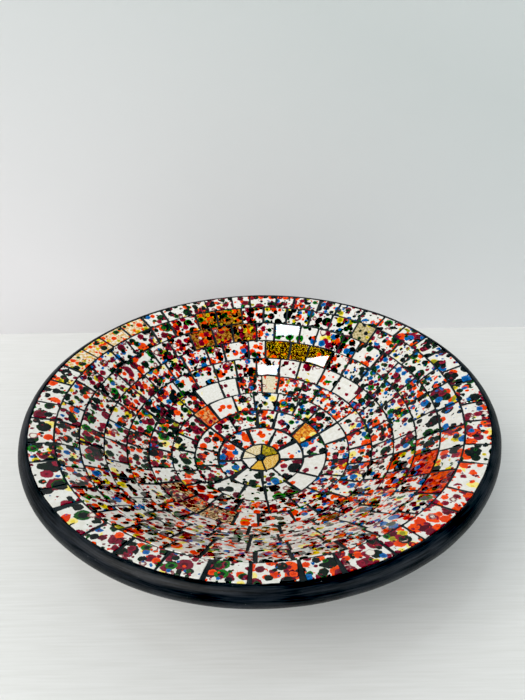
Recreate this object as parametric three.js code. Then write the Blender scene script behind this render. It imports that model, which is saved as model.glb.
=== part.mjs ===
// A shallow round mosaic bowl. A turned clay body with a rolled lip carries a bed of
// grout, and the bed carries flat glass tiles, laid in nine courses round a rosette.
// Millimetres, +Z up, the origin at the centre of the flat foot.
import * as THREE from "three";

// Driving dimensions of the body.
const outerRadius = 150;
const bowlHeight = 76;
const lipHalfHeight = 6;
const lipSteps = 10;
const footRadius = 60;
const footHeight = 10;
const footBevel = 1.5;
const wallThickness = 7.5;
const turnedSegments = 48;

// The lining, from the top of the glass down to the clay.
const glassThickness = 2.2;
const bedClearance = 0.6;
const bedThickness = 1.2;
const clayClearance = 0.3;
const bedTopDepth = glassThickness + bedClearance;
const bedBottomDepth = bedTopDepth + bedThickness;
const clayDepth = bedBottomDepth + clayClearance;

// Joints between tiles, and the adhesive film that joins the tiles of an outer course.
const jointWidth = 1.0;
const edgeJoint = 0.8;
const unevenness = 0.1;
const filmThickness = 0.5;

// The rosette at the middle: wedges between unequal joints, round one small chip.
const rosetteRadius = 13.9;
const rosetteHole = 3.0;
const rosetteJoints = [15, 85, 150, 185, 235, 285];
const rosetteColours = [0xa8962a, 0xd8c890, 0xe6ddc6, 0xe8e6df, 0xe2b24c, 0xe0a83c];
const wedgeStep = 35;
const chipRadius = 2.0;
const chipSides = 7;

// Courses from the rosette out to the rim: the number of tiles, the turn of the first
// joint, the slope of the wall under the course and the length of a tile up the slope.
const courses = [
  { number: 9, tiles: 9, turn: 28.8, slope: 7.7, length: 17.2 },
  { number: 8, tiles: 14, turn: 18.8, slope: 16.0, length: 16.9 },
  { number: 7, tiles: 20, turn: 4.4, slope: 21.6, length: 16.8 },
  { number: 6, tiles: 26, turn: 7.2, slope: 24.6, length: 16.5 },
  { number: 5, tiles: 29, turn: 4.7, slope: 34.5, length: 16.3 },
  { number: 4, tiles: 34, turn: 1.3, slope: 38.6, length: 16.4 },
  { number: 3, tiles: 37, turn: 4.4, slope: 39.1, length: 16.7 },
  { number: 2, tiles: 38, turn: 2.8, slope: 37.0, length: 15.8 },
  { number: 1, tiles: 43, turn: 0.6, slope: 19.4, length: 14.8 },
];
const separateCourses = courses.filter((course) => course.number >= 7);
const joinedCourses = courses.filter((course) => course.number < 7);

const radians = THREE.MathUtils.degToRad;

function finish(colour, roughness, metalness) {
  return new THREE.MeshStandardMaterial({ color: colour, roughness, metalness });
}

const paintedClay = () => finish(0x2a2e30, 0.42, 0);
const grout = () => finish(0x23292b, 0.85, 0);
const splatteredGlass = () => finish(0xe8e6df, 0.06, 0);

// The top of the glass, seen in section: each course is a straight slope.
let radius = rosetteRadius;
let rise = 0;
for (const course of courses) {
  course.innerRadius = radius;
  course.innerRise = rise;
  radius += course.length * Math.cos(radians(course.slope));
  rise += course.length * Math.sin(radians(course.slope));
}
const fieldRadius = radius;
const fieldRise = rise;
const lowestGlass = bowlHeight - fieldRise;
const rebateRadius = fieldRadius + edgeJoint;
const lipHalfWidth = outerRadius - rebateRadius;

// A point under the inner edge of a course, at a depth below the top of the glass. It
// lies where the two neighbouring slopes meet when both are moved down by that depth.
function underCourse(index, depth) {
  const course = courses[index];
  const slope = radians(course.slope);
  const slopeInside = index === 0 ? 0 : radians(courses[index - 1].slope);
  const lean = (slope + slopeInside) / 2;
  const reach = depth / Math.cos((slope - slopeInside) / 2);
  return new THREE.Vector2(
    course.innerRadius + reach * Math.sin(lean),
    lowestGlass + course.innerRise - reach * Math.cos(lean),
  );
}

// A point under the rim course at a chosen radius near the edge of the field.
function underRim(atRadius, depth) {
  const slope = radians(courses.at(-1).slope);
  const drop = depth / Math.cos(slope) + (fieldRadius - atRadius) * Math.tan(slope);
  return new THREE.Vector2(atRadius, bowlHeight - drop);
}

// The lining at one depth, from the rim in to the axis.
function liningInwards(depth, edgeRadius) {
  const points = [underRim(edgeRadius, depth)];
  for (let index = courses.length - 1; index >= 0; index -= 1) {
    points.push(underCourse(index, depth));
  }
  points.push(new THREE.Vector2(0, lowestGlass - depth));
  return points;
}

// A section of radius and height, turned round +Z. It runs anticlockwise.
function turned(section, material) {
  const solid = new THREE.LatheGeometry(section, turnedSegments).rotateX(Math.PI / 2);
  return new THREE.Mesh(solid, material);
}

function claySection() {
  const foot = [
    new THREE.Vector2(0, 0),
    new THREE.Vector2(footRadius - footBevel, 0),
    new THREE.Vector2(footRadius, footBevel),
    new THREE.Vector2(footRadius, footHeight),
  ];
  const outerDepth = clayDepth + wallThickness;
  const wall = [3, 4, 5, 6, 7].map((index) => underCourse(index, outerDepth));
  const lipHeight = bowlHeight - lipHalfHeight;
  const quarter = Math.PI / 2;
  const lipCurve = new THREE.EllipseCurve(
    rebateRadius, lipHeight, lipHalfWidth, lipHalfHeight, -quarter, quarter,
  );
  const lip = lipCurve.getPoints(lipSteps);
  const seat = liningInwards(clayDepth, rebateRadius);
  return [...foot, ...wall, ...lip, ...seat];
}

function bedSection() {
  const edge = rebateRadius - clayClearance;
  const underside = liningInwards(bedBottomDepth, edge).reverse();
  return [...underside, ...liningInwards(bedTopDepth, edge)];
}

// A flat piece of sheet glass: its outline lies in the top face.
function glassPiece(corners) {
  const outline = new THREE.Shape(corners);
  const piece = new THREE.ExtrudeGeometry(outline, { depth: glassThickness, bevelEnabled: false });
  return piece.translate(0, 0, -glassThickness);
}

// The outline of a tile of a course, measured up the slope from the X axis. Its inner edge
// touches the course's inner circle, and its two outer corners lie on the outer circle.
function tileOutline(course, widthAngle) {
  const gap = jointWidth / 2;
  const slopeRun = Math.cos(radians(course.slope));
  const halfAngle = radians(widthAngle / 2);
  const cornerRadius = course.innerRadius + (course.length - gap) * slopeRun;
  const innerHalf = course.innerRadius * Math.sin(halfAngle) - gap;
  const outerHalf = cornerRadius * Math.sin(halfAngle) - gap;
  const outerEdge = (cornerRadius * Math.cos(halfAngle) - course.innerRadius) / slopeRun;
  return [
    new THREE.Vector2(innerHalf, gap),
    new THREE.Vector2(outerHalf, outerEdge),
    new THREE.Vector2(-outerHalf, outerEdge),
    new THREE.Vector2(-innerHalf, gap),
  ];
}

// The joints of a course, uneven by a little, as pieces cut by hand fall.
function jointAngles(course) {
  const pitch = 360 / course.tiles;
  const angles = [];
  for (let index = 0; index < course.tiles; index += 1) {
    const shift = unevenness * Math.sin(2.9 * index + 7.3 * course.number);
    angles.push(course.turn + pitch * (index + shift));
  }
  return angles;
}

// Every tile of a course: its outline, and its holder, turned to the middle of the tile
// and carrying the tile's own tilt and place.
function layCourse(course) {
  const angles = jointAngles(course);
  return angles.map((start, index) => {
    const end = index + 1 < angles.length ? angles[index + 1] : angles[0] + 360;
    const holder = new THREE.Group();
    holder.rotation.z = radians((start + end) / 2 - 90);
    const seat = new THREE.Group();
    seat.position.set(0, course.innerRadius, lowestGlass + course.innerRise);
    seat.rotation.x = radians(course.slope);
    holder.add(seat);
    return { holder, seat, outline: tileOutline(course, end - start) };
  });
}

// An outer course in one piece. The corners of each tile stand on three levels: the top of
// the glass, the top of the adhesive film and the base. Between tiles only the film runs on.
function joinedCourse(course) {
  const [top, film, base] = [0, 1, 2];
  const depths = [0, glassThickness - filmThickness, glassThickness];
  const corners = 4;
  const positions = [];
  const faces = [];
  const tiles = layCourse(course);

  for (const { holder, seat, outline } of tiles) {
    holder.updateMatrixWorld(true);
    for (const corner of outline) {
      for (const depth of depths) {
        const point = new THREE.Vector3(corner.x, corner.y, -depth);
        positions.push(...point.applyMatrix4(seat.matrixWorld).toArray());
      }
    }
  }

  const column = (tile, corner) => ((tile % tiles.length) * corners + corner) * depths.length;
  const quad = (a, b, c, d) => faces.push(a, b, c, a, c, d);
  const side = (a, b, low, high) => quad(a + low, b + low, b + high, a + high);
  const lid = ([a, b, c, d], level) => quad(a + level, b + level, c + level, d + level);
  const floor = ([a, b, c, d]) => quad(d + base, c + base, b + base, a + base);

  for (let tile = 0; tile < tiles.length; tile += 1) {
    const block = [0, 1, 2, 3].map((corner) => column(tile, corner));
    const [innerStart, outerStart, outerEnd, innerEnd] = block;
    lid(block, top);
    floor(block);
    for (const [from, to] of [[outerStart, outerEnd], [innerEnd, innerStart]]) {
      side(from, to, base, film);
      side(from, to, film, top);
    }
    side(innerStart, outerStart, film, top);
    side(outerEnd, innerEnd, film, top);

    const nextInner = column(tile + 1, 0);
    const nextOuter = column(tile + 1, 1);
    const bridge = [innerEnd, outerEnd, nextOuter, nextInner];
    lid(bridge, film);
    floor(bridge);
    side(outerEnd, nextOuter, base, film);
    side(nextInner, innerEnd, base, film);
  }

  const geometry = new THREE.BufferGeometry();
  geometry.setAttribute("position", new THREE.Float32BufferAttribute(positions, 3));
  geometry.setIndex(faces);
  geometry.computeVertexNormals();
  return new THREE.Mesh(geometry, splatteredGlass());
}

function atAngle(distance, angle) {
  const turn = radians(angle);
  return new THREE.Vector2(distance * Math.cos(turn), distance * Math.sin(turn));
}

// A wedge of the rosette between two joints, its outer edge nipped straight in steps.
function rosetteWedge(start, end, colour) {
  const outer = rosetteRadius - jointWidth / 2;
  const clearance = (distance) => THREE.MathUtils.radToDeg(jointWidth / 2 / distance);
  const first = start + clearance(outer);
  const last = end - clearance(outer);
  const steps = Math.max(1, Math.round((end - start) / wedgeStep));
  const corners = [
    atAngle(rosetteHole, end - clearance(rosetteHole)),
    atAngle(rosetteHole, start + clearance(rosetteHole)),
  ];
  for (let step = 0; step <= steps; step += 1) {
    corners.push(atAngle(outer, first + ((last - first) * step) / steps));
  }
  const wedge = new THREE.Mesh(glassPiece(corners), finish(colour, 0.08, 0));
  wedge.position.z = lowestGlass;
  return wedge;
}

function centreChip() {
  const corners = [];
  for (let side = 0; side < chipSides; side += 1) {
    corners.push(atAngle(chipRadius, (360 * side) / chipSides));
  }
  const chip = new THREE.Mesh(glassPiece(corners), finish(0x1e2628, 0.08, 0));
  chip.position.z = lowestGlass;
  return chip;
}

const twoDigits = (index) => String(index + 1).padStart(2, "0");

function named(mesh, name) {
  mesh.name = name;
  return mesh;
}

const bowl = new THREE.Group();
bowl.add(named(turned(claySection(), paintedClay()), "clay_bowl"));
bowl.add(named(turned(bedSection(), grout()), "grout_bed"));
bowl.add(named(centreChip(), "centre_chip"));

rosetteJoints.forEach((start, index) => {
  const end = rosetteJoints[index + 1] ?? rosetteJoints[0] + 360;
  const wedge = rosetteWedge(start, end, rosetteColours[index]);
  bowl.add(named(wedge, `rosette_wedge_${index + 1}`));
});

for (const course of separateCourses) {
  layCourse(course).forEach(({ holder, seat, outline }, index) => {
    const tile = new THREE.Mesh(glassPiece(outline), splatteredGlass());
    seat.add(named(tile, `course_${course.number}_tile_${twoDigits(index)}`));
    bowl.add(holder);
  });
}

for (const course of joinedCourses) {
  bowl.add(named(joinedCourse(course), `course_${course.number}_tiles`));
}

export default bowl;
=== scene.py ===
"""A shallow mosaic bowl: black painted clay, lined with splatter-painted glass tiles."""
import math
import random
from collections import namedtuple

import bmesh
import bpy
from mathutils import Matrix, Quaternion, Vector, noise
from mathutils.geometry import delaunay_2d_cdt


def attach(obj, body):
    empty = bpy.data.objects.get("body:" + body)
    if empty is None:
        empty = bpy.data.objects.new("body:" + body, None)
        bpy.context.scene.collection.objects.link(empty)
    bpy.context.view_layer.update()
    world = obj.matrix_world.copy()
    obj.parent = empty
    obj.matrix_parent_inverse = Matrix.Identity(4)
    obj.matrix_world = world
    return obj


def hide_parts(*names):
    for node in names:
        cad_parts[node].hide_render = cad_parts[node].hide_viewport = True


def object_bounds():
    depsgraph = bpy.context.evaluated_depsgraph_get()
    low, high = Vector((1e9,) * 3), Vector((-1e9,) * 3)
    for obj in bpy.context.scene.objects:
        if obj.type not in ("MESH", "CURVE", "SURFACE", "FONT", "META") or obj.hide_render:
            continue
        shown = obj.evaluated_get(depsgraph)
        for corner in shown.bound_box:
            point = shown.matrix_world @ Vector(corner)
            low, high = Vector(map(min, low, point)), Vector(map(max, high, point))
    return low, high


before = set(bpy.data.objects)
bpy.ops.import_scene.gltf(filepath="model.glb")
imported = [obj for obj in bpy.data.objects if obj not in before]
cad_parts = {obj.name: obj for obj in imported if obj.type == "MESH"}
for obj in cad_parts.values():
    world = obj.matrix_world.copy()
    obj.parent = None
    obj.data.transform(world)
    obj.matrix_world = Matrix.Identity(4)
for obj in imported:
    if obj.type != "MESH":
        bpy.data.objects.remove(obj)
cad_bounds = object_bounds()
MM = 0.001
# Points closer than this are one point.
FINEST = 0.001 * MM
SEED = 11

# The camera: millimetres of lens, metres from the bowl's axis and rim, degrees of turn.
LENS = 24.94
CAMERA_ACROSS = 0.0024
CAMERA_IN_FRONT = 0.2665
CAMERA_ABOVE_RIM = 0.1847
CAMERA_LOOKS_DOWN = 30.62
CAMERA_ROLL = -0.81


def set_up_camera():
    """A phone's wide lens, held over the near rim and looking down into the bowl."""
    data = bpy.data.cameras.new("camera")
    data.lens = LENS
    camera = bpy.data.objects.new("camera", data)
    bpy.context.scene.collection.objects.link(camera)
    bpy.context.scene.camera = camera
    height = cad_bounds[1].z + CAMERA_ABOVE_RIM
    camera.location = (CAMERA_ACROSS, -CAMERA_IN_FRONT, height)
    look_down = math.radians(90 - CAMERA_LOOKS_DOWN)
    roll = math.radians(CAMERA_ROLL)
    tilt = Matrix.Rotation(look_down, 4, "X") @ Matrix.Rotation(roll, 4, "Z")
    camera.rotation_euler = tilt.to_euler()


# ------------------------------------------------------------------ node helpers


def colour(code):
    """Six hexadecimal sRGB digits, as linear red, green, blue and alpha."""
    channels = [int(code[i:i + 2], 16) / 255 for i in (0, 2, 4)]
    linear = [c / 12.92 if c <= 0.04045 else ((c + 0.055) / 1.055) ** 2.4 for c in channels]
    return (*linear, 1.0)


def add_node(tree, kind, inputs=None, **settings):
    """A new node. Each input is given a number, a colour or a socket."""
    made = tree.nodes.new(kind)
    for key, value in settings.items():
        setattr(made, key, value)
    for key, value in (inputs or {}).items():
        if isinstance(value, bpy.types.NodeSocket):
            tree.links.new(value, made.inputs[key])
        else:
            made.inputs[key].default_value = value
    return made


def calculate(tree, operation, *values):
    """The outcome of one step of arithmetic."""
    inputs = dict(enumerate(values))
    return add_node(tree, "ShaderNodeMath", inputs, operation=operation).outputs[0]


def blend(tree, share, first, second):
    """The first colour where share is 0 and the second where it is 1."""
    inputs = {0: share, 6: first, 7: second}
    return add_node(tree, "ShaderNodeMix", inputs, data_type="RGBA").outputs[2]


def attribute(tree, name):
    """What the mesh's own data of that name says at each place."""
    return add_node(tree, "ShaderNodeAttribute", attribute_name=name).outputs


def split(tree, vector):
    """The three numbers of a vector or a colour."""
    return add_node(tree, "ShaderNodeSeparateXYZ", {0: vector}).outputs


def vector_maths(tree, operation, *values):
    """The outputs of one step of vector arithmetic."""
    inputs = dict(enumerate(values))
    return add_node(tree, "ShaderNodeVectorMath", inputs, operation=operation).outputs


def scaled(tree, vector, factor):
    """The vector times one number, which is the node's fourth input."""
    inputs = {0: vector, 3: factor}
    return add_node(tree, "ShaderNodeVectorMath", inputs, operation="SCALE").outputs[0]


def voronoi(tree, vector, scale, **inputs):
    """Cells on a plane: the distance to the middle of each, and its colour of chances."""
    given = {"Vector": vector, "Scale": scale, **inputs}
    return add_node(tree, "ShaderNodeTexVoronoi", given, voronoi_dimensions="2D").outputs


def noise_of(tree, vector, scale, detail=2.0):
    """The outputs of a noise: a share near one half, and a colour."""
    inputs = {"Vector": vector, "Scale": scale, "Detail": detail}
    return add_node(tree, "ShaderNodeTexNoise", inputs).outputs


def ramp(tree, value, low, high):
    """Rises from 0 to 1 as the value goes from low to high."""
    inputs = {0: value, 1: low, 2: high}
    return add_node(tree, "ShaderNodeMapRange", inputs).outputs[0]


def shifted_by_noise(tree, place, scale, amount):
    """The place, pushed about by up to half of amount either way."""
    push = noise_of(tree, place, scale)[1]
    centred = vector_maths(tree, "SUBTRACT", push, (0.5, 0.5, 0.5))[0]
    return vector_maths(tree, "ADD", place, scaled(tree, centred, amount))[0]


def new_material(name, **settings):
    """A material and its Principled shader, with the settings that are even all over."""
    material = bpy.data.materials.new(name)
    material.use_nodes = True
    shader = material.node_tree.nodes["Principled BSDF"]
    for key, value in settings.items():
        shader.inputs[key.replace("_", " ").title().replace("Ior", "IOR")].default_value = value
    return material, material.node_tree, shader


# ------------------------------------------------------------------ paint on the glass

# A paint thrown on the sheet in drops. Weight names the tile's own share of it; spacing,
# smallest and largest are in millimetres; core is how much of a drop its heart takes.
Paint = namedtuple("Paint", "weight spacing smallest largest core rim heart")
PAINTS = (
    Paint("pale", 10.0, 1.4, 4.0, 0.5, "eadb84", "e0c844"),
    Paint("orange", 11.5, 1.9, 5.0, 0.9, "e8480c", "d23a08"),
    Paint("maroon", 11.5, 1.9, 5.1, 0.9, "76142c", "4c0e1e"),
    Paint("yellow", 9.0, 1.1, 3.4, 0.9, "dcc022", "86861a"),
    Paint("black", 12.0, 2.1, 5.4, 1.9, "124e18", "0a1012"),
    Paint("orange", 7.6, 1.0, 3.1, 0.9, "ea4c10", "cc3006"),
    Paint("green", 9.5, 1.5, 4.2, 1.4, "157018", "081810"),
    Paint("maroon", 7.4, 0.8, 3.0, 0.8, "8c142e", "5a0e20"),
    Paint("maroon", 17.0, 1.5, 2.9, 0.9, "701028", "dcd6ca"),
    Paint("blue", 8.2, 1.0, 3.2, 0.6, "0e62a6", "0a4682"),
    Paint("black", 8.0, 0.7, 2.9, 1.6, "124016", "0a1012"),
    Paint("maroon", 6.0, 0.3, 1.1, 0.8, "701028", "540c1e"),
    Paint("blue", 7.0, 0.3, 1.3, 0.8, "0e5c9c", "0a4e90"),
    Paint("green", 7.0, 0.3, 1.4, 1.3, "145c18", "0a2010"),
    Paint("orange", 6.0, 0.3, 1.1, 0.8, "e6440c", "d83208"),
)
WEIGHTS = {
    "warm": ("orange", "maroon", "yellow"),
    "cool": ("green", "blue", "black"),
    "extra": ("pale", "flake", "leaf"),
}
SPLAT_INPUTS = {
    "NodeSocketVector": ("Place", "Offset"),
    "NodeSocketFloat": ("Spacing", "Smallest", "Largest", "Density", "Core"),
    "NodeSocketColor": ("Rim", "Heart", "Below"),
}
# One drop may fall in each cell, and this is how far the cells stray from a square grid.
CELL_RANDOMNESS = 0.72
# Drops gather in patches. The density is multiplied by SPARSE between them, and a patch adds
# GATHERED to that.
PATCH_SCALE = 0.06
SPARSE = 0.45
GATHERED = 1.1
# Above 1, this makes small drops commoner than large ones.
SMALLNESS = 1.3
# How soft the edges of a drop and of its heart are, in millimetres, and the least that a
# heart can be of what its paint allows.
DROP_EDGE = 0.12
HEART_EDGE = 0.25
LEAST_HEART = 0.3
# Paint lies thick in small clouds, and there it takes on this much of the heart's colour.
THICK_SCALE = 0.9
THICK_SHARE = 0.45


def drop_radius(group, given, place, chance):
    """How large the cell's drop is, and the same again but 0 where there is no drop."""
    gather = ramp(group, noise_of(group, place, PATCH_SCALE, 1.0)[0], 0.36, 0.64)
    local = calculate(group, "MULTIPLY_ADD", gather, GATHERED, SPARSE)
    density = calculate(group, "MULTIPLY", given["Density"], local)
    present = calculate(group, "LESS_THAN", chance[1], density)
    size = calculate(group, "POWER", chance[0], SMALLNESS)
    span = calculate(group, "SUBTRACT", given["Largest"], given["Smallest"])
    radius = calculate(group, "MULTIPLY_ADD", size, span, given["Smallest"])
    return radius, calculate(group, "MULTIPLY", radius, present)


def drop_colour(group, given, place, chance, distance, radius):
    """The rim's colour, going over to the heart's in the middle and where paint lies thick."""
    spread = calculate(group, "MULTIPLY_ADD", chance[2], 1 - LEAST_HEART, LEAST_HEART)
    heart_share = calculate(group, "MULTIPLY", given["Core"], spread)
    heart_radius = calculate(group, "MULTIPLY", radius, heart_share)
    inside = calculate(group, "SUBTRACT", heart_radius, distance)
    heart = ramp(group, inside, -HEART_EDGE, HEART_EDGE)
    thick = ramp(group, noise_of(group, place, THICK_SCALE, 3.0)[0], 0.42, 0.72)
    partly = calculate(group, "MULTIPLY", thick, THICK_SHARE)
    share = calculate(group, "MAXIMUM", heart, partly)
    return blend(group, share, given["Rim"], given["Heart"])


def splat_group():
    """Scatters drops of one paint over what lies below them, thicker in some places."""
    group = bpy.data.node_groups.new("splat", "ShaderNodeTree")
    for kind, names in SPLAT_INPUTS.items():
        for name in names:
            group.interface.new_socket(name, in_out="INPUT", socket_type=kind)
    group.interface.new_socket("Result", in_out="OUTPUT", socket_type="NodeSocketColor")
    given = group.nodes.new("NodeGroupInput").outputs
    result = group.nodes.new("NodeGroupOutput").inputs

    place = vector_maths(group, "ADD", given["Place"], given["Offset"])[0]
    scale = calculate(group, "DIVIDE", 1.0, given["Spacing"])
    cells = voronoi(group, place, scale, Randomness=CELL_RANDOMNESS)
    chance = split(group, cells["Color"])
    distance = calculate(group, "MULTIPLY", cells["Distance"], given["Spacing"])
    radius, edge = drop_radius(group, given, place, chance)
    mask = ramp(group, calculate(group, "SUBTRACT", edge, distance), 0.0, DROP_EDGE)
    paint = drop_colour(group, given, place, chance, distance, radius)
    group.links.new(blend(group, mask, given["Below"], paint), result["Result"])
    return group


def paint_weights(tree):
    """The tile's own share of each paint, read from its attributes."""
    weights = {}
    for name, paints in WEIGHTS.items():
        numbers = split(tree, attribute(tree, name)["Vector"])
        weights.update(zip(paints, numbers))
    return weights


def mottled_ground(tree, place):
    """The colour of the sheet itself: two colours that cloud into each other, and grains."""
    cloud = ramp(tree, noise_of(tree, place, 0.36, 6.0)[0], 0.42, 0.58)
    ground_a = attribute(tree, "ground_a")["Color"]
    ground_b = attribute(tree, "ground_b")["Color"]
    ground = blend(tree, cloud, ground_a, ground_b)
    grain = ramp(tree, noise_of(tree, place, 2.6)[0], 0.6, 0.72)
    faint = calculate(tree, "MULTIPLY", grain, 0.3)
    return blend(tree, faint, ground, colour("8d8270"))


def layer_offset(layer):
    """Where on its own pattern a layer of paint starts, so that no two layers match."""
    return (37.7 * layer + 11.3, 53.1 * layer + 4.9, 0.0)


def gold_flakes(tree, sheet, share, below):
    """Angular flakes of gold on top of the paint, in that share of their small cells."""
    flakes = voronoi(tree, sheet, 1.4)
    chance = split(tree, flakes["Color"])
    shown = calculate(tree, "LESS_THAN", chance[0], share)
    gold = blend(tree, chance[1], colour("f4cc20"), colour("8a5a10"))
    return blend(tree, shown, below, gold)


def glass_material(name, splat, **settings):
    """Sheet glass, with all the paint that each tile's own weights ask for."""
    material, tree, shader = new_material(name, **settings)
    sheet = attribute(tree, "sheet")["Vector"]
    blobby = shifted_by_noise(tree, sheet, 0.55, 1.6)
    place = shifted_by_noise(tree, blobby, 1.8, 0.6)
    weights = paint_weights(tree)
    painted = mottled_ground(tree, place)
    for layer, paint in enumerate(PAINTS):
        inputs = {
            "Place": place,
            "Offset": layer_offset(layer),
            "Spacing": paint.spacing,
            "Smallest": paint.smallest,
            "Largest": paint.largest,
            "Density": weights[paint.weight],
            "Core": paint.core,
            "Rim": colour(paint.rim),
            "Heart": colour(paint.heart),
            "Below": painted,
        }
        painted = add_node(tree, "ShaderNodeGroup", inputs, node_tree=splat).outputs["Result"]
    painted = gold_flakes(tree, sheet, weights["flake"], painted)
    tree.links.new(painted, shader.inputs["Base Color"])
    return material


# ------------------------------------------------------------------ the plan of the glass

# The top of a tile faces upwards more than this, and is larger than any strip of the film
# of adhesive that joins the tiles of an outer course.
LID_SLOPE = 0.7
FILM_AREA = 40 * MM * MM
# Faces that turn less than this from one to the next are one face.
FLAT_WITHIN = math.radians(0.4)
# Course 1 is at the rim, 9 is round the rosette, and 0 is the rosette with its chip.
COURSES = range(10)


def azimuth(point):
    """Degrees anticlockwise from +X, seen from above."""
    return math.degrees(math.atan2(point.y, point.x)) % 360


def middle(points):
    """The mean of some places."""
    return sum(points, Vector((0, 0, 0))) / len(points)


def glass_tops(node):
    """The top face of each tile in a CAD node: its corners, anticlockwise, and its normal."""
    solid = bmesh.new()
    solid.from_mesh(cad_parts[node].data)
    bmesh.ops.remove_doubles(solid, verts=solid.verts, dist=FINEST)
    bmesh.ops.dissolve_limit(
        solid, angle_limit=FLAT_WITHIN, verts=solid.verts, edges=solid.edges)
    solid.normal_update()
    lids = [face for face in solid.faces if face.normal.z > LID_SLOPE]
    if node.endswith("_tiles"):
        lids = [face for face in lids if face.calc_area() > FILM_AREA]
    tops = [([v.co.copy() for v in face.verts], face.normal.copy()) for face in lids]
    solid.free()
    return tops


class Tile:
    """One piece of glass: the CAD node it stands for, its course, its top and its axes."""

    def __init__(self, name, node, corners, normal):
        self.name = name
        self.node = node
        self.course = int(node.split("_")[1]) if node.startswith("course") else 0
        self.centre = middle(corners)
        self.azimuth = azimuth(self.centre)
        outwards = Vector((self.centre.x, self.centre.y, 0))
        if node == "centre_chip":
            outwards = Vector((0, 1, 0))
        up = (outwards - normal * outwards.dot(normal)).normalized()
        self.turn = Matrix((up.cross(normal), up, normal)).transposed()
        flat = [self.turn.transposed() @ (corner - self.centre) / MM for corner in corners]
        self.corners = [point.xy for point in flat]
        self.edge_points = corners
        self.lean = Matrix.Identity(3)

    def to_world(self, point):
        """From millimetres across, up and out of the tile to a place in the bowl."""
        return self.centre + self.turn @ (self.lean @ point) * MM


def plan_tiles():
    """Every piece of glass. Those of an outer course are numbered anticlockwise from +X."""
    tiles = []
    for node in sorted(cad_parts):
        if node in ("clay_bowl", "grout_bed"):
            continue
        tops = sorted(glass_tops(node), key=lambda top: azimuth(middle(top[0])))
        for number, (corners, normal) in enumerate(tops, 1):
            name = node.replace("_tiles", f"_tile_{number:02d}") + "_glass"
            tiles.append(Tile(name, node, corners, normal))
    return tiles


# ------------------------------------------------------------------ how tiles are painted

WHITE = ("dfded9", "d6d4cb")
CREAM = ("d8d0ba", "cbbd98")
GOLD = ("d99a2c", "efd084")
RUST = ("562208", "b07c30")
CORAL = ("e2481e", "a82812")


def style(ground, scale=1.0, **weights):
    """The two ground colours, how finely the paint falls, and the share of each paint."""
    numbers = {
        name: tuple(weights.get(paint, 0.0) for paint in paints)
        for name, paints in WEIGHTS.items()
    }
    return {"ground_a": ground[0], "ground_b": ground[1], "scale": scale, **numbers}


# Tiles that stand out: the course, the arc in degrees, and what they carry.
ACCENTS = (
    (9, 349, 29, style(WHITE, orange=0.15, blue=0.25)),
    (9, 29, 69, style(WHITE, orange=0.35, maroon=0.3, green=0.2, black=0.1)),
    (9, 69, 109, style(WHITE, orange=0.8, yellow=0.2, maroon=0.2)),
    (9, 109, 149, style(WHITE, blue=0.5, black=0.6, orange=0.5)),
    (9, 149, 189, style(WHITE, maroon=0.6, orange=0.6, blue=0.35)),
    (9, 189, 309, style(WHITE, green=1.0, blue=0.25, maroon=0.25, yellow=0.2)),
    (9, 309, 349, style(WHITE, maroon=0.8, black=0.6, orange=0.2)),
    (8, 18, 48, style(("dca038", "b04c10"), scale=1.2, orange=0.25, maroon=0.2, pale=0.4)),
    (8, 125, 152, style(WHITE, maroon=0.9, black=0.7, orange=0.3)),
    (8, 229, 308, style(WHITE, scale=0.9, green=1.0, black=0.2, maroon=0.15)),
    (8, 308, 332, style(WHITE, orange=0.2)),
    (8, 332, 354, style(WHITE, maroon=0.1)),
    (7, 4, 24, style(WHITE, maroon=0.25)),
    (7, 110, 130, style(WHITE, orange=0.4)),
    (7, 130, 152, style(("b03c10", "d89c5c"), scale=1.2, orange=0.6, maroon=0.5)),
    (6, 76, 91, style(CREAM, scale=1.6, orange=0.3, maroon=0.3)),
    (6, 103, 133, style(WHITE, scale=1.8, pale=0.05, maroon=0.1)),
    (6, 213, 252, style(("54301c", "c8ac80"), scale=1.6, orange=0.2, maroon=0.9, black=0.6)),
    (6, 252, 266, style(WHITE, orange=0.95, yellow=0.4)),
    (5, 25, 37, style(WHITE, scale=0.9, maroon=0.6)),
    (5, 37, 50, style(WHITE, scale=0.9, green=0.5, orange=0.5)),
    (5, 50, 64, style(WHITE, scale=0.9, maroon=0.55, yellow=0.5)),
    (5, 64, 78, style(WHITE, scale=0.9, maroon=0.6, green=0.4)),
    (4, 59, 91, style(("0c0c0a", "3a2008"), scale=1.2, orange=0.35, black=0.3, flake=0.24)),
    (3, 91, 119, style(RUST, scale=1.2, orange=0.35, maroon=0.6, black=0.6, yellow=0.5)),
    (3, 327, 337, style(CORAL, scale=1.2, blue=0.4, black=0.6, maroon=0.4)),
    (3, 343, 353, style(WHITE, black=1.0, maroon=0.2)),
    (2, 42, 50, style(("c4b48e", "8e8250"), scale=1.7, yellow=0.2, black=0.3, green=0.1)),
    (2, 99, 117, style(RUST, scale=1.4, orange=0.4, black=0.7, yellow=0.9, green=0.5)),
    (2, 316, 325, style(CORAL, scale=1.2, maroon=0.6, black=0.3, orange=0.3)),
    (1, 138, 171, style(("e0dac8", "cc9c4c"), scale=1.3, yellow=1.0, orange=0.65, green=0.4)),
    (1, 298, 316, style(WHITE, maroon=0.9, orange=0.9)),
    (1, 316, 326, style(WHITE, orange=0.9, pale=0.5, maroon=0.2)),
    (1, 326, 334, style(WHITE, green=0.7, yellow=0.8, orange=0.5, black=0.4)),
)
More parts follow.
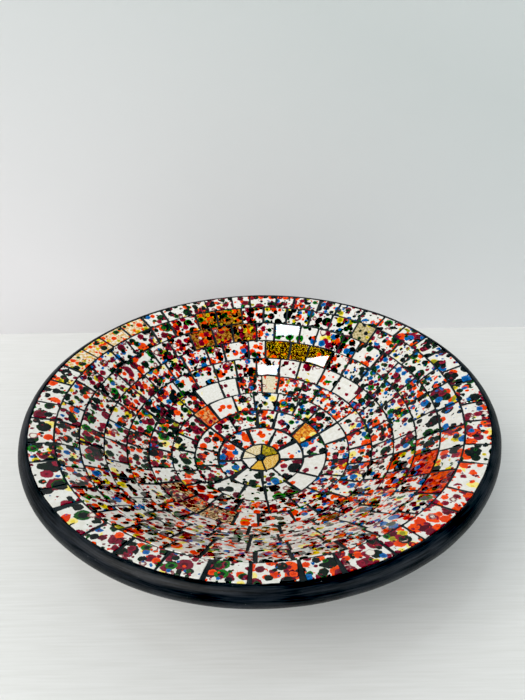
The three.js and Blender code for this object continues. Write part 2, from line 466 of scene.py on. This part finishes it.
ROSETTE = {
    "rosette_wedge_1": style(("a8941e", "4c4a10"), scale=1.2, leaf=1.0, flake=0.12, yellow=0.4),
    "rosette_wedge_2": style(("c8b07c", "e2d6b4"), scale=2.4, flake=0.05),
    "rosette_wedge_3": style(("e6ddc6", "d8caa8"), scale=1.6, flake=0.01),
    "rosette_wedge_4": style(WHITE, blue=0.12, scale=1.4),
    "rosette_wedge_5": style(("dca02a", "e8bc4c"), scale=2.4, leaf=1.0, flake=0.06),
    "rosette_wedge_6": style(GOLD, scale=2.4, leaf=1.0, flake=0.1),
    "centre_chip": style(("0c1418", "0e2c42"), scale=2.2, blue=1.0),
}


def bump(angle, centre, width):
    """1 at the centre angle, falling smoothly to 0 at width degrees to either side."""
    away = abs((angle - centre + 180) % 360 - 180) / width
    return 0.5 + 0.5 * math.cos(math.pi * min(away, 1.0))


def usual_style(angle, rng):
    """What most tiles carry. Maroon and green gather on the left, and blue on the right."""
    left, right = bump(angle, 185, 90), bump(angle, 5, 80)
    front, back = bump(angle, 285, 75), bump(angle, 95, 60)
    return style(
        WHITE,
        scale=rng.uniform(0.85, 1.25) + 0.15 * front,
        orange=rng.uniform(0.1, 0.6) + 0.15 * (front + back),
        maroon=rng.uniform(0.2, 0.7) + 0.2 * (left + back) + 0.1 * front,
        yellow=rng.uniform(0.0, 0.4),
        green=rng.uniform(0.2, 0.7) + 0.15 * (left + back),
        blue=rng.uniform(0.0, 0.4) + 0.25 * right - 0.1 * left,
        black=rng.uniform(0.2, 0.75) + 0.2 * left + 0.25 * (back + right),
        pale=rng.uniform(0.0, 0.3),
    )


def accent(tile):
    """The special style of a tile, or None."""
    for course, start, end, special in ACCENTS:
        if tile.course == course and (tile.azimuth - start) % 360 < (end - start) % 360:
            return special
    return ROSETTE.get(tile.node)


# How many tiles come from one strip, and how far into a sheet a strip may start, in mm.
STRIP_LENGTHS = (1, 1, 2, 2, 3, 4)
SHEET_SIDE = 900


def paint_tiles(tiles, rng):
    """Cuts each course from strips of painted sheet, so that some drops run over a joint."""
    for course in COURSES:
        row = sorted((t for t in tiles if t.course == course), key=lambda t: t.azimuth)
        left_in_strip = 0
        for tile, after in zip(row, row[1:] + row[:1]):
            if left_in_strip == 0:
                left_in_strip = rng.choice(STRIP_LENGTHS)
                start = Vector((rng.uniform(0, SHEET_SIDE), rng.uniform(0, SHEET_SIDE)))
                shared = usual_style(tile.azimuth, rng)
            tile.style = accent(tile) or shared
            tile.sheet_start = start.copy()
            start.x -= (after.centre - tile.centre).length / MM * shared["scale"]
            left_in_strip -= 1


# ------------------------------------------------------------------ cutting the glass

# Joints that open outwards: the course, the angle in degrees and the extra width in mm. A
# side belongs to a joint when it lies within JOINT_REACH degrees of it.
JOINT_REACH = 4
WIDE_JOINTS = (
    (9, 29, 2.6), (9, 109, 2.2), (9, 189, 3.0), (9, 229, 4.4), (8, 19, 1.2),
    (7, 130, 1.6), (1, 67, 1.6), (1, 228, 1.6), (1, 263, 1.4), (1, 281, 1.6),
)
# The pieces that partly mirror a small window overhead: how many degrees each one is off
# facing it squarely. The rest are bedded so that they miss it.
WINDOW = Vector((-0.25, -0.27, 1.55))
FACING_WINDOW = {
    "course_3_tile_08_glass": (0.8, 0.0),
    "course_4_tile_06_glass": (-0.9, -0.3),
    "course_5_tile_07_glass": (-0.8, 0.0),
}
CLEAR_OF_WINDOW = math.radians(2.6)
# How many degrees the rest usually lean, either way.
USUAL_LEAN = 0.5
# How far a side is cut outside its CAD line, in millimetres: the least and the most. Sides
# run up the bowl and ends run round it, and the two outer courses' ends are cut closer. A
# wedge's side shorter than CHIP_SIDE faces the chip and makes room for it.
SIDE_PLAY = (-0.8, 0.05)
END_PLAY = (0.12, 0.34)
TIGHT_PLAY = (-0.05, 0.25)
ROSETTE_PLAY = (-0.3, 0.1)
CHIP_PLAY = (0.3, 0.8)
CHIP_SIDE = 4.0
ROOM_FOR_CHIP = (-1.1, -0.9)
CLOSE_CUT_COURSES = (1, 2)
# The cut edge, in millimetres: how far apart its points are, what is broken off each end of
# a side, how ragged it is, the chance of a nick at a point, and how deep nicks are.
EDGE_STEP = 2.0
BROKEN_CORNER = 0.3
RAGGED = 0.05
NICK_CHANCE = 0.05
NICK_DEPTH = (0.1, 0.3)


def extra_width(course, angle):
    """Half of what a joint at this angle opens, beyond the usual."""
    for wide_course, wide_angle, extra in WIDE_JOINTS:
        away = abs((angle - wide_angle + 180) % 360 - 180)
        if course == wide_course and away < JOINT_REACH:
            return extra / 2
    return 0.0


def side_moves(tile, rng):
    """How far each side moves outwards at its start and at its end."""
    moves = []
    count = len(tile.corners)
    for index, start in enumerate(tile.corners):
        end = tile.corners[(index + 1) % count]
        runs_up = abs(end.y - start.y) > abs(end.x - start.x)
        if tile.node == "centre_chip":
            play = CHIP_PLAY
        elif tile.course == 0:
            play = ROOM_FOR_CHIP if (end - start).length < CHIP_SIDE else ROSETTE_PLAY
        elif runs_up:
            play = SIDE_PLAY
        else:
            play = TIGHT_PLAY if tile.course in CLOSE_CUT_COURSES else END_PLAY
        ends = [rng.uniform(*play) for _ in range(2)]
        if runs_up and tile.course:
            edge = tile.to_world(((start + end) / 2).to_3d())
            outer_end = 0 if start.y > end.y else 1
            ends[outer_end] -= extra_width(tile.course, azimuth(edge))
        moves.append(ends)
    return moves


def cut_corners(tile, rng):
    """The corners after each side has been moved, where the moved sides meet."""
    moves = side_moves(tile, rng)
    count = len(tile.corners)
    moved = []
    for index, corner in enumerate(tile.corners):
        before = (corner - tile.corners[index - 1]).normalized()
        after = (tile.corners[(index + 1) % count] - corner).normalized()
        out_before = Vector((before.y, -before.x))
        out_after = Vector((after.y, -after.x))
        a, b = moves[index - 1][1], moves[index][0]
        turn = out_before.x * out_after.y - out_before.y * out_after.x
        shift = Vector((
            a * out_after.y - b * out_before.y,
            b * out_before.x - a * out_after.x,
        ))
        moved.append(corner + shift / turn)
    return moved


def bow(tile, start, end):
    """How far the middle of an end stands out, to follow the round of its course."""
    if tile.course == 0 or abs(end.y - start.y) > abs(end.x - start.x):
        return 0.0
    radius = tile.to_world(((start + end) / 2).to_3d()).xy.length / MM
    height = (end - start).length ** 2 / (8 * radius)
    return height if start.x > end.x else -height


def nipped_outline(tile, corners, rng):
    """Points along the sides: a little ragged, with broken corners and a few small nicks."""
    points = []
    for index, corner in enumerate(corners):
        after = corners[(index + 1) % len(corners)]
        along = after - corner
        bowed = bow(tile, corner, after)
        length = along.length
        out = Vector((along.y, -along.x)) / length
        pieces = max(2, round(length / EDGE_STEP))
        middles = [length * piece / pieces for piece in range(1, pieces)]
        points.append(corner + along * (BROKEN_CORNER / length))
        for mark in middles:
            ragged = rng.gauss(0, RAGGED)
            if rng.random() < NICK_CHANCE:
                ragged -= rng.uniform(*NICK_DEPTH)
            share = mark / length
            ragged += bowed * 4 * share * (1 - share)
            points.append(corner + along * share + out * ragged)
        points.append(corner + along * (1 - BROKEN_CORNER / length))
    return points


# Rings of points from the underside of the glass up over its edge, in millimetres: how far
# in from the outline, and how deep. The last rings close in on the middle by these shares.
GLASS_RINGS = (
    (0.35, 2.2), (0.28, 2.05), (0.0, 0.45), (0.03, 0.16), (0.13, 0.03), (0.3, 0.0), (0.6, 0.0),
)
TOP_SHARES = (0.7, 0.36)
# The top is this wavy, over about this length, in millimetres.
TOP_WAVE = 0.008
WAVE_LENGTH = 7
# The grout meets the glass this many millimetres below its top, on an outline shrunk by
# this share. The pocket's floor is just under the glass.
GROUT_DEPTH = 0.38
TUCKED_SHARE = 0.993
POCKET_DEPTH = 2.25
# Edges of the glass and the grout that turn more than this look sharp.
SHARP_EDGE = math.radians(50)


def glass_points(outline, rng):
    """The piece's points, ring by ring and then the middle of the top."""
    heart = sum(outline, Vector((0, 0))) / len(outline)
    reach = sum((point - heart).length for point in outline) / len(outline)
    seed = Vector((rng.uniform(0, 99), rng.uniform(0, 99), 0))
    shares = [(1 - inset / reach, depth) for inset, depth in GLASS_RINGS]
    shares += [(share, 0.0) for share in TOP_SHARES]
    points = []
    for share, depth in [*shares, (0.0, 0.0)]:
        placed = outline if share else outline[:1]
        for point in placed:
            spot = (heart + (point - heart) * share).to_3d()
            height = -depth
            if depth == 0:
                height = TOP_WAVE * noise.noise(spot / WAVE_LENGTH + seed)
            points.append(Vector((spot.x, spot.y, height)))
    return points


def glass_faces(count, rings):
    """The underside, the bands between rings, and the fan that closes the top."""
    faces = [list(reversed(range(count)))]
    for ring in range(rings - 1):
        low, high = ring * count, (ring + 1) * count
        for index in range(count):
            after = (index + 1) % count
            faces.append([low + index, low + after, high + after, high + index])
    last = (rings - 1) * count
    for index in range(count):
        faces.append([last + index, last + (index + 1) % count, rings * count])
    return faces


def set_paint(mesh, tile, points):
    """Writes the place on the painted sheet, and the tile's paint, on every point."""
    scale = tile.style["scale"]
    start = tile.sheet_start
    vectors = {"sheet": [(start.x + p.x * scale, start.y + p.y * scale, 0) for p in points]}
    for name in WEIGHTS:
        vectors[name] = [tile.style[name]] * len(points)
    for name, triples in vectors.items():
        made = mesh.attributes.new(name, "FLOAT_VECTOR", "POINT")
        made.data.foreach_set("vector", [number for triple in triples for number in triple])
    for name in ("ground_a", "ground_b"):
        made = mesh.attributes.new(name, "FLOAT_COLOR", "POINT")
        made.data.foreach_set("color", colour(tile.style[name]) * len(points))


def new_piece(name, points, faces, material, nodes):
    """A mesh that rides on the bowl and stands for its CAD nodes."""
    mesh = bpy.data.meshes.new(name)
    mesh.from_pydata(points, [], faces)
    mesh.shade_smooth()
    mesh.materials.append(material)
    piece = bpy.data.objects.new(name, mesh)
    bpy.context.scene.collection.objects.link(piece)
    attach(piece, "root")
    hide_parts(*nodes)
    return piece


def set_lean(tile, rng):
    """Beds the tile a little askew. Only a few pieces end up facing the window."""
    leans = [math.radians(rng.gauss(0, USUAL_LEAN)) for _ in range(2)]
    tile.lean = Matrix.Rotation(leans[0], 3, "X") @ Matrix.Rotation(leans[1], 3, "Y")
    eye = bpy.context.scene.camera.location
    to_eye, to_window = (eye - tile.centre).normalized(), (WINDOW - tile.centre).normalized()
    facing = tile.turn.transposed() @ (to_eye + to_window).normalized()
    normal = tile.lean @ Vector((0, 0, 1))
    if tile.name in FACING_WINDOW:
        short = [math.radians(amount) for amount in FACING_WINDOW[tile.name]]
        off = Matrix.Rotation(short[0], 3, "X") @ Matrix.Rotation(short[1], 3, "Y")
        tile.lean = Vector((0, 0, 1)).rotation_difference(off @ facing).to_matrix()
    elif normal.angle(facing) < CLEAR_OF_WINDOW:
        push = Matrix.Rotation(CLEAR_OF_WINDOW, 3, facing.cross(normal))
        tile.lean = push @ tile.lean


def glass_slot(tile):
    """Which kind of glass the tile is cut from."""
    if tile.node == "centre_chip":
        return "dark_glass"
    extra = dict(zip(WEIGHTS["extra"], tile.style["extra"]))
    return "gold_glass" if extra["leaf"] else "splattered_glass"


def cut_glass(tile, materials, rng):
    """Makes one tile, with cut edges and a faintly wavy face."""
    set_lean(tile, rng)
    outline = nipped_outline(tile, cut_corners(tile, rng), rng)
    points = glass_points(outline, rng)
    faces = glass_faces(len(outline), len(GLASS_RINGS) + len(TOP_SHARES))
    slot = glass_slot(tile)
    world = [tile.to_world(point) for point in points]
    piece = new_piece(tile.name, world, faces, materials[slot], [tile.node])
    piece.data.set_sharp_from_angle(angle=SHARP_EDGE)
    set_paint(piece.data, tile, points)
    heart = sum(outline, Vector((0, 0))) / len(outline)
    tucked = [(heart + (point - heart) * TUCKED_SHARE).to_3d() for point in outline]
    tile.pocket = [tile.to_world(point - Vector((0, 0, GROUT_DEPTH))) for point in tucked]
    tile.floor = [tile.to_world(point - Vector((0, 0, POCKET_DEPTH))) for point in tucked]


# ------------------------------------------------------------------ clay and grout


def lining_section(tiles):
    """The top of the glass in section: radius and height at both edges of each course."""
    rosette = middle([p for t in tiles if t.course == 0 for p in t.edge_points])
    section = [Vector((0, rosette.z))]
    for course in reversed(COURSES[1:]):
        points = [p for t in tiles if t.course == course for p in t.edge_points]
        points = [Vector((p.xy.length, p.z)) for p in points]
        halfway = sum(p.x for p in points) / len(points)
        for inner in (True, False):
            side = [p for p in points if (p.x < halfway) == inner]
            section.append(sum(side, Vector((0, 0))) / len(side))
    return section


def sunk(section, depth):
    """A section moved down and out, square to its own slope."""
    moved = []
    for index, point in enumerate(section):
        before = section[max(index - 1, 0)]
        after = section[min(index + 1, len(section) - 1)]
        along = (after - before).normalized()
        moved.append(point + Vector((along.y, -along.x)) * depth)
    moved[0].x = 0
    return moved


# The seat of the lining is this deep under the top of the glass, and the grout's underside
# a little less.
SEAT_DEPTH = 4.2 * MM
BED_DEPTH = 4.0 * MM
# Edges of the clay that turn more than this look sharp.
SHARP_CLAY_EDGE = math.radians(60)
CLAY_SEGMENTS = 256
GROUT_SEGMENTS = 288
# How high the sand grains of the grout stand, and how many fit into a metre.
GROUT_GRAIN = 0.07 * MM
GRAINS_PER_METRE = 900


def smooth_curve(points, step):
    """A Catmull-Rom curve through the points, with a point about every step."""
    points = [Vector(p) for p in points]
    padded = [2 * points[0] - points[1], *points, 2 * points[-1] - points[-2]]
    curve = []
    for a, b, c, d in zip(padded, padded[1:], padded[2:], padded[3:]):
        pieces = max(1, round((c - b).length / step))
        for piece in range(pieces):
            t = piece / pieces
            curve.append(0.5 * (
                2 * b + (c - a) * t + (2 * a - 5 * b + 4 * c - d) * t * t
                + (3 * b - a - 3 * c + d) * t ** 3))
    return curve + [points[-1]]


def foot_section():
    """The underside: a shallow recess, the ring that the bowl stands on, and its side."""
    depth, recess, foot = 0.8 * MM, 50 * MM, 60 * MM
    return [
        (0, depth), (recess * 0.5, depth), (recess * 0.96, depth * 0.9),
        (recess, 0.2 * MM), (recess + 1.5 * MM, 0), (foot - 2 * MM, 0),
        (foot - 0.4 * MM, 0.6 * MM), (foot, 2.2 * MM),
        (foot + 0.3 * MM, 7 * MM), (foot + 2.0 * MM, 10.6 * MM),
    ]


def lip_section(radius, height):
    """The rolled lip: an oval round this radius, from near its lowest point to its crown."""
    crown, outer = cad_bounds[1].z, cad_bounds[1].x
    lip = []
    for degrees in range(-80, 91, 10):
        turn = math.radians(degrees)
        lip.append((radius + (outer - radius) * math.cos(turn),
                    crown - height + height * math.sin(turn)))
    return lip


def clay_section(section):
    """From the middle of the underside, round the foot and the lip, to the middle inside."""
    crown = cad_bounds[1].z
    edge = section[-1].x
    wall_depth, wall_start, wall_end = 11.8 * MM, 66 * MM, 126 * MM
    wall = [p for p in sunk(section, wall_depth) if wall_start < p.x < wall_end][::2]
    lip_height = 6 * MM
    under_lip = [(wall[-1].x + 10 * MM, crown - 2 * lip_height - 5.4 * MM)]
    lip = lip_section(edge + 1.3 * MM, lip_height)
    outside = smooth_curve([*foot_section(), *wall, *under_lip, *lip], 2 * MM)
    outside = [Vector((point.x, max(point.y, 0.0))) for point in outside]
    inner_round = [
        Vector((edge + 0.55 * MM, crown - 0.12 * MM)),
        Vector((edge + 0.3 * MM, crown - 0.5 * MM)),
    ]
    seat = sunk(section, SEAT_DEPTH)
    seat[-1].x = edge + 0.3 * MM
    return [*outside, *inner_round, *reversed(seat)]


def turned(section, segments, wobble):
    """Points and faces of a section turned round the axis, where it starts and ends."""
    inner = section[1:-1]
    count = len(inner)
    points = []
    for step in range(segments):
        turn = 2 * math.pi * step / segments
        for radius, height in inner:
            spot = Vector((radius * math.cos(turn), radius * math.sin(turn), height))
            points.append(spot + wobble(spot))
    points += [Vector((0, 0, section[0].y)), Vector((0, 0, section[-1].y))]
    first, last = len(points) - 2, len(points) - 1
    faces = []
    for step in range(segments):
        here, there = step * count, (step + 1) % segments * count
        faces.append([first, there, here])
        for index in range(count - 1):
            faces.append([here + index, there + index, there + index + 1, here + index + 1])
        faces.append([here + count - 1, there + count - 1, last])
    return points, faces


def share_past(amount, width):
    """0 below an edge, rising to 1 once past it by the width."""
    return min(max(amount / width, 0), 1)


def hand_wobble(spot):
    """The slow unevenness of a body thrown by hand. The glass seat stays where it is."""
    seat_edge, seat_height = 144.6 * MM, 50 * MM
    outside = share_past(spot.xy.length - seat_edge, 2 * MM)
    below = share_past(seat_height - spot.z, 10 * MM)
    share = max(outside, below * 0.6)
    slow = noise.noise(spot * 14) * 0.45 * MM + noise.noise(spot * 60) * 0.16 * MM
    away = Vector((spot.x, spot.y, 0)).normalized()
    rise = 0.25 * slow * outside - 0.1 * MM * outside
    return away * (slow - 0.35 * MM) * share + Vector((0, 0, rise))


def make_clay(section, material):
    """The body of the bowl, turned in one piece."""
    points, faces = turned(clay_section(section), CLAY_SEGMENTS, hand_wobble)
    piece = new_piece("painted_clay_bowl", points, faces, material, ["clay_bowl"])
    piece.data.set_sharp_from_angle(angle=SHARP_CLAY_EDGE)


def joint_skin(tiles, rim):
    """The grout seen between the tiles: its points, its faces and where each outline went.

    Where two outlines cross, the skin takes the height of the nearest point of either.
    """
    spots = list(rim)
    loops = [list(range(len(rim)))]
    for tile in tiles:
        loops.append(list(range(len(spots), len(spots) + len(tile.pocket))))
        spots += tile.pocket
    found = delaunay_2d_cdt([spot.xy for spot in spots], [], loops, 1, FINEST)
    flat, _, all_faces, old_points, _, old_faces = found
    faces = [face for face, old in zip(all_faces, old_faces) if old == [0]]
    points = []
    new_index = {}
    for index, (spot, old) in enumerate(zip(flat, old_points)):
        met = old or [min(range(len(spots)), key=lambda i: (spots[i].xy - spot).length)]
        height = sum(spots[i].z for i in met) / len(met)
        grain = GROUT_GRAIN * noise.noise(spot.to_3d() * GRAINS_PER_METRE)
        points.append(Vector((spot.x, spot.y, height + grain)))
        new_index.update((i, index) for i in old)
    return points, faces, [[new_index[i] for i in loop] for loop in loops]


def level_circle(radius, height):
    """Points round a level circle."""
    turns = [2 * math.pi * step / GROUT_SEGMENTS for step in range(GROUT_SEGMENTS)]
    return [Vector((radius * math.cos(a), radius * math.sin(a), height)) for a in turns]


def add_pocket(points, faces, loop, floor_points):
    """The hollow under one tile: its floor, and its sides up to the loop round the tile."""
    floor = list(range(len(points), len(points) + len(loop)))
    points += floor_points
    faces.append(floor)
    for index, top in enumerate(loop):
        after = (index + 1) % len(loop)
        faces.append([top, loop[after], floor[after], floor[index]])


def add_underside(points, faces, outer, levels):
    """Rings of faces from the outer loop in to the axis, at each level in turn."""
    for level in reversed(levels[1:]):
        inner = list(range(len(points), len(points) + GROUT_SEGMENTS))
        points += level_circle(level.x, level.y)
        for index in range(GROUT_SEGMENTS):
            after = (index + 1) % GROUT_SEGMENTS
            faces.append([outer[index], inner[index], inner[after], outer[after]])
        outer = inner
    points.append(Vector((0, 0, levels[0].y)))
    for index in range(GROUT_SEGMENTS):
        faces.append([outer[index], len(points) - 1, outer[(index + 1) % GROUT_SEGMENTS]])


def make_grout(tiles, section, material):
    """One skin of grout between all the tiles, a pocket under each, and the bed below."""
    edge = section[-1].x + 0.75 * MM
    rim = level_circle(edge, cad_bounds[1].z - 0.4 * MM)
    points, faces, loops = joint_skin(tiles, rim)
    for tile, loop in zip(tiles, loops[1:]):
        add_pocket(points, faces, loop, tile.floor)
    levels = sunk(section, BED_DEPTH)
    levels[-1].x = edge
    add_underside(points, faces, loops[0], levels)
    piece = new_piece("grout_between_tiles", points, faces, material, ["grout_bed"])
    piece.data.set_sharp_from_angle(angle=SHARP_EDGE)


def in_millimetres(tree):
    """Where each place of the surface is in the bowl's own frame."""
    place = tree.nodes.new("ShaderNodeTexCoord").outputs["Object"]
    return scaled(tree, place, 1 / MM)


def add_bump(tree, shader, height, strength, distance):
    """Makes the light fall on the surface as if it had this relief."""
    inputs = {"Strength": strength, "Distance": distance, "Height": height}
    bump_node = add_node(tree, "ShaderNodeBump", inputs)
    tree.links.new(bump_node.outputs[0], shader.inputs["Normal"])


def grout_material():
    """Near-black sanded grout, with a dusty film in places."""
    material, tree, shader = new_material("grout", roughness=0.85)
    place = in_millimetres(tree)
    cloud = ramp(tree, noise_of(tree, place, 0.12, 4.0)[0], 0.35, 0.7)
    grain = noise_of(tree, place, 4.0, 3.0)[0]
    dark = blend(tree, cloud, colour("1c2123"), colour("2d3335"))
    sandy = ramp(tree, grain, 0.6, 0.75)
    faint = calculate(tree, "MULTIPLY", sandy, 0.5)
    tree.links.new(blend(tree, faint, dark, colour("50565a")), shader.inputs["Base Color"])
    add_bump(tree, shader, grain, 0.5, 0.15 * MM)
    return material


def brushed_round(tree, place):
    """A place for noise that is drawn out into lines round the bowl."""
    flat = vector_maths(tree, "MULTIPLY", place, (1, 1, 0))[0]
    reach = vector_maths(tree, "LENGTH", flat)["Value"]
    around = vector_maths(tree, "NORMALIZE", flat)[0]
    turn = split(tree, scaled(tree, around, 9.0))
    rise = calculate(tree, "SUBTRACT", split(tree, place)[2], reach)
    inputs = {0: turn[0], 1: turn[1], 2: rise}
    return add_node(tree, "ShaderNodeCombineXYZ", inputs).outputs[0]


def worn_at_the_foot(tree, place, grain, paint):
    """The paint, rubbed through to the clay in grains along the lowest millimetre."""
    reach = calculate(tree, "MULTIPLY", grain, 1.2)
    low = calculate(tree, "SUBTRACT", reach, split(tree, place)[2])
    return blend(tree, ramp(tree, low, 0.3, 0.6), paint, colour("8a5a42"))


def clay_material():
    """Satin black paint, brushed round the bowl over hand-smoothed clay. Its lighter brush
    streaks are partly a painted sheen.
    """
    material, tree, shader = new_material("painted_clay", specular_ior_level=0.28)
    place = in_millimetres(tree)
    streaks = noise_of(tree, brushed_round(tree, place), 1.3, 5.0)[0]
    cloud = noise_of(tree, place, 0.03, 3.0)[0]
    grain = noise_of(tree, place, 1.1, 4.0)[0]
    # Lighter brush streaks: partly the paint's own streaks, partly a painted sheen in the base
    # colour.
    streaks_and_painted_sheen = ramp(tree, calculate(tree, "ADD", streaks, cloud), 0.85, 1.2)
    paint = blend(tree, streaks_and_painted_sheen, colour("0a0c0e"), colour("25282d"))
    speck = ramp(tree, noise_of(tree, place, 0.9, 1.0)[0], 0.78, 0.82)
    paint = blend(tree, calculate(tree, "MULTIPLY", speck, 0.5), paint, colour("7d8081"))
    painted = worn_at_the_foot(tree, place, grain, paint)
    tree.links.new(painted, shader.inputs["Base Color"])

    rough = calculate(tree, "MULTIPLY_ADD", grain, 0.3, 0.3)
    tree.links.new(rough, shader.inputs["Roughness"])
    height = calculate(tree, "MULTIPLY_ADD", grain, 0.4, streaks)
    add_bump(tree, shader, height, 0.35, 0.25 * MM)
    return material


# ------------------------------------------------------------------ the studio

# Metres: half the width of the table and the wall, how far behind the axis the wall stands
# and how high it is.
WIDE = 2.2
WALL_BEHIND = 0.218
WALL_HEIGHT = 1.6
# What the lights face.
LIT_SPOT = Vector((0, 0, 0.03))
# How the picture is developed.
BLACK_LEVEL = 0.036
EXPOSURE = -0.22


def plane(name, corners, material):
    """A four-sided surface of the room, which is not part of the bowl."""
    mesh = bpy.data.meshes.new(name)
    mesh.from_pydata(corners, [], [range(4)])
    mesh.materials.append(material)
    piece = bpy.data.objects.new(name, mesh)
    bpy.context.scene.collection.objects.link(piece)


def see_through_from_behind(tree, shader):
    """Only the front of the surface shows, so that it hides nothing in other views."""
    clear = tree.nodes.new("ShaderNodeBsdfTransparent").outputs[0]
    behind = tree.nodes.new("ShaderNodeNewGeometry").outputs["Backfacing"]
    mixed = add_node(tree, "ShaderNodeMixShader", {0: behind, 1: shader.outputs[0], 2: clear})
    tree.links.new(mixed.outputs[0], tree.nodes["Material Output"].inputs["Surface"])


def floor_material():
    """White paint on a table top, with faint brush lines along it."""
    material, tree, shader = new_material("white_table", roughness=0.45)
    place = in_millimetres(tree)
    stretched = vector_maths(tree, "MULTIPLY", place, (0.03, 0.8, 1.0))[0]
    lines = noise_of(tree, stretched, 1.0, 4.0)[0]
    white = blend(tree, ramp(tree, lines, 0.3, 0.7), colour("d5d5d2"), colour("dcdcda"))
    tree.links.new(white, shader.inputs["Base Color"])
    add_bump(tree, shader, lines, 0.2, 0.1 * MM)
    see_through_from_behind(tree, shader)
    return material


def wall_material():
    """A pale, slightly uneven wall, with painted shade that darkens it towards the upper right.
    """
    material, tree, shader = new_material("pale_wall", roughness=0.9)
    place = in_millimetres(tree)
    axes = split(tree, place)
    cloud = noise_of(tree, place, 0.004, 2.0)[0]
    rise = calculate(tree, "MULTIPLY_ADD", axes[2], 2.3, axes[0])
    # Painted shade: the wall's colour darkens towards the upper right, as if less light fell
    # there.
    painted_shade = ramp(tree, calculate(tree, "MULTIPLY_ADD", cloud, 120.0, rise), 10.0, 800.0)
    wall = blend(tree, painted_shade, colour("dcdadb"), colour("bfc4c3"))
    tree.links.new(wall, shader.inputs["Base Color"])
    see_through_from_behind(tree, shader)
    return material


def area_light(name, place, size, power, tint, twist=0.0):
    """A rectangle of light that faces the bowl. The power is in watts, and the twist turns
    the rectangle in its own plane by so many degrees."""
    data = bpy.data.lights.new(name, "AREA")
    data.shape = "RECTANGLE"
    data.size, data.size_y = size
    data.energy = power
    data.color = tint
    light = bpy.data.objects.new(name, data)
    light.location = place
    aim = (LIT_SPOT - Vector(place)).to_track_quat("-Z", "Y")
    light.rotation_euler = (aim @ Quaternion((0, 0, 1), math.radians(twist))).to_euler()
    bpy.context.scene.collection.objects.link(light)


def make_room():
    """The table just under the bowl, and the wall just behind it."""
    under = -0.2 * MM
    table = ((-WIDE, -WIDE), (WIDE, -WIDE), (WIDE, WIDE), (-WIDE, WIDE))
    plane("table", [(x, y, under) for x, y in table], floor_material())
    wall = ((-WIDE, under), (WIDE, under), (WIDE, WALL_HEIGHT), (-WIDE, WALL_HEIGHT))
    plane("wall", [(x, WALL_BEHIND, z) for x, z in wall], wall_material())


def light_up():
    """Soft light from the left, a fill from the right, and a small window overhead."""
    world = bpy.data.worlds.new("studio")
    bpy.context.scene.world = world
    world.use_nodes = True
    sky = world.node_tree.nodes["Background"].inputs
    sky["Color"].default_value = (0.86, 0.9, 0.92, 1)
    sky["Strength"].default_value = 0.6
    area_light("key", (-1.1, -0.9, 1.6), (1.3, 1.3), 37, (1.0, 0.98, 0.95))
    area_light("fill", (1.0, -1.1, 0.75), (1.4, 0.9), 12, (0.93, 0.97, 1.0))
    area_light("window", WINDOW, (0.12, 0.1), 1.3, (0.8, 0.93, 1.0), twist=40)


def set_view():
    """Plain colours with deep blacks, like a phone's picture."""
    settings = bpy.context.scene.view_settings
    settings.view_transform = "Standard"
    settings.use_curve_mapping = True
    settings.curve_mapping.black_level = (BLACK_LEVEL,) * 3
    settings.exposure = EXPOSURE


def make_bowl():
    """Plans, paints and cuts the glass, then fits the grout and the clay to it."""
    rng = random.Random(SEED)
    tiles = plan_tiles()
    paint_tiles(tiles, rng)
    splat = splat_group()
    gloss = {"specular_ior_level": 0.0, "coat_weight": 1.0, "coat_roughness": 0.015}
    materials = {
        "splattered_glass": glass_material("splattered_glass", splat, roughness=0.12, **gloss),
        "gold_glass": glass_material("gold_glass", splat, roughness=0.22, metallic=0.35, **gloss),
        "dark_glass": glass_material("dark_glass", splat, roughness=0.08, **gloss),
    }
    for tile in tiles:
        cut_glass(tile, materials, rng)
    section = lining_section(tiles)
    make_grout(tiles, section, grout_material())
    make_clay(section, clay_material())


set_up_camera()
make_room()
light_up()
set_view()
make_bowl()
